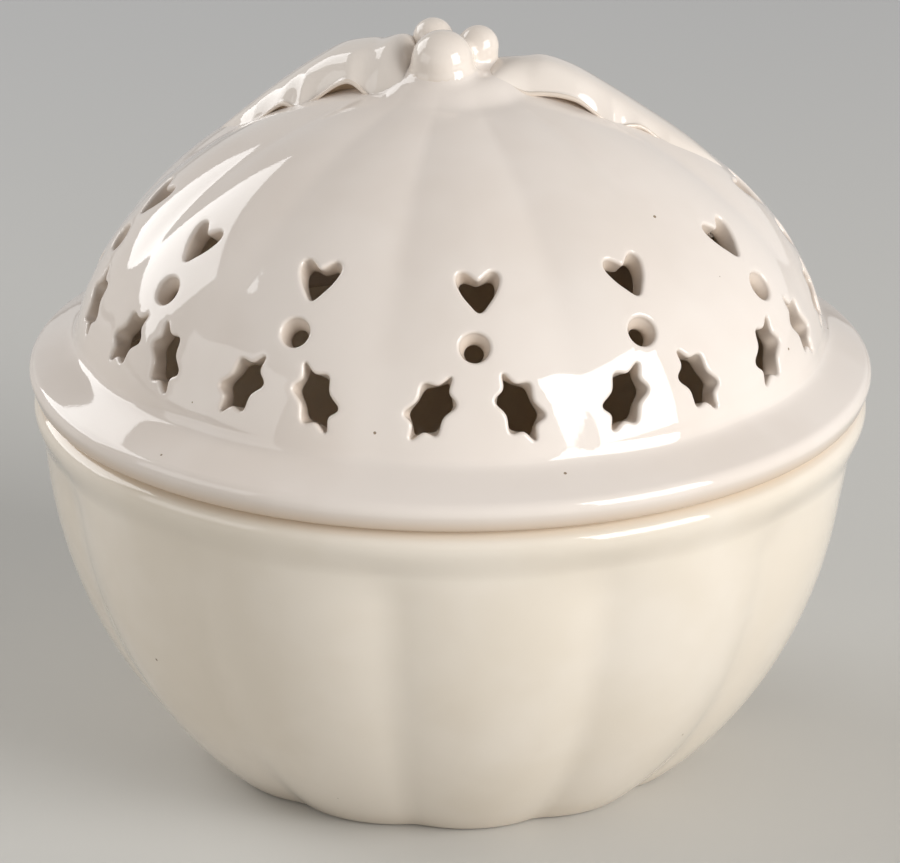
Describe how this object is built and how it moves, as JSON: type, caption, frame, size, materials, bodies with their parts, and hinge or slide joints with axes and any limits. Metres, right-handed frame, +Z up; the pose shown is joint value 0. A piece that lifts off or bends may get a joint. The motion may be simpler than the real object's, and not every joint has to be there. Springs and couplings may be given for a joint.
{
  "type": "lidded potpourri vase",
  "caption": "Round lobed ceramic bowl with a loose domed lid, pierced with hearts, dots and holly leaves to let scent out, and a holly sprig with berries as its finial.",
  "frame": {"origin": "middle of the base, on the surface that the vase stands on", "axes": "+Z up along the axis of the bowl and lid; the front of the vase, with the middle of a lobe of the lid, faces -Y"},
  "size_m": [0.1718, 0.1718, 0.1544],
  "materials": {
    "bowl_glaze": "gloss",
    "lid_glaze": "gloss",
    "sprig_glaze": "gloss"
  },
  "bodies": {
    "bowl": {"bowl": "bowl_glaze"},
    "lid": {"lid": "lid_glaze", "leaf_left": "sprig_glaze", "leaf_right": "sprig_glaze", "berry_front": "sprig_glaze", "berry_right": "sprig_glaze", "berry_back": "sprig_glaze"}
  },
  "joints": [
    {"name": "lid_lift", "type": "slide", "parent": "bowl", "child": "lid", "axis": [0, 0, 1], "range_m": [0, 0.12]}
  ]
}
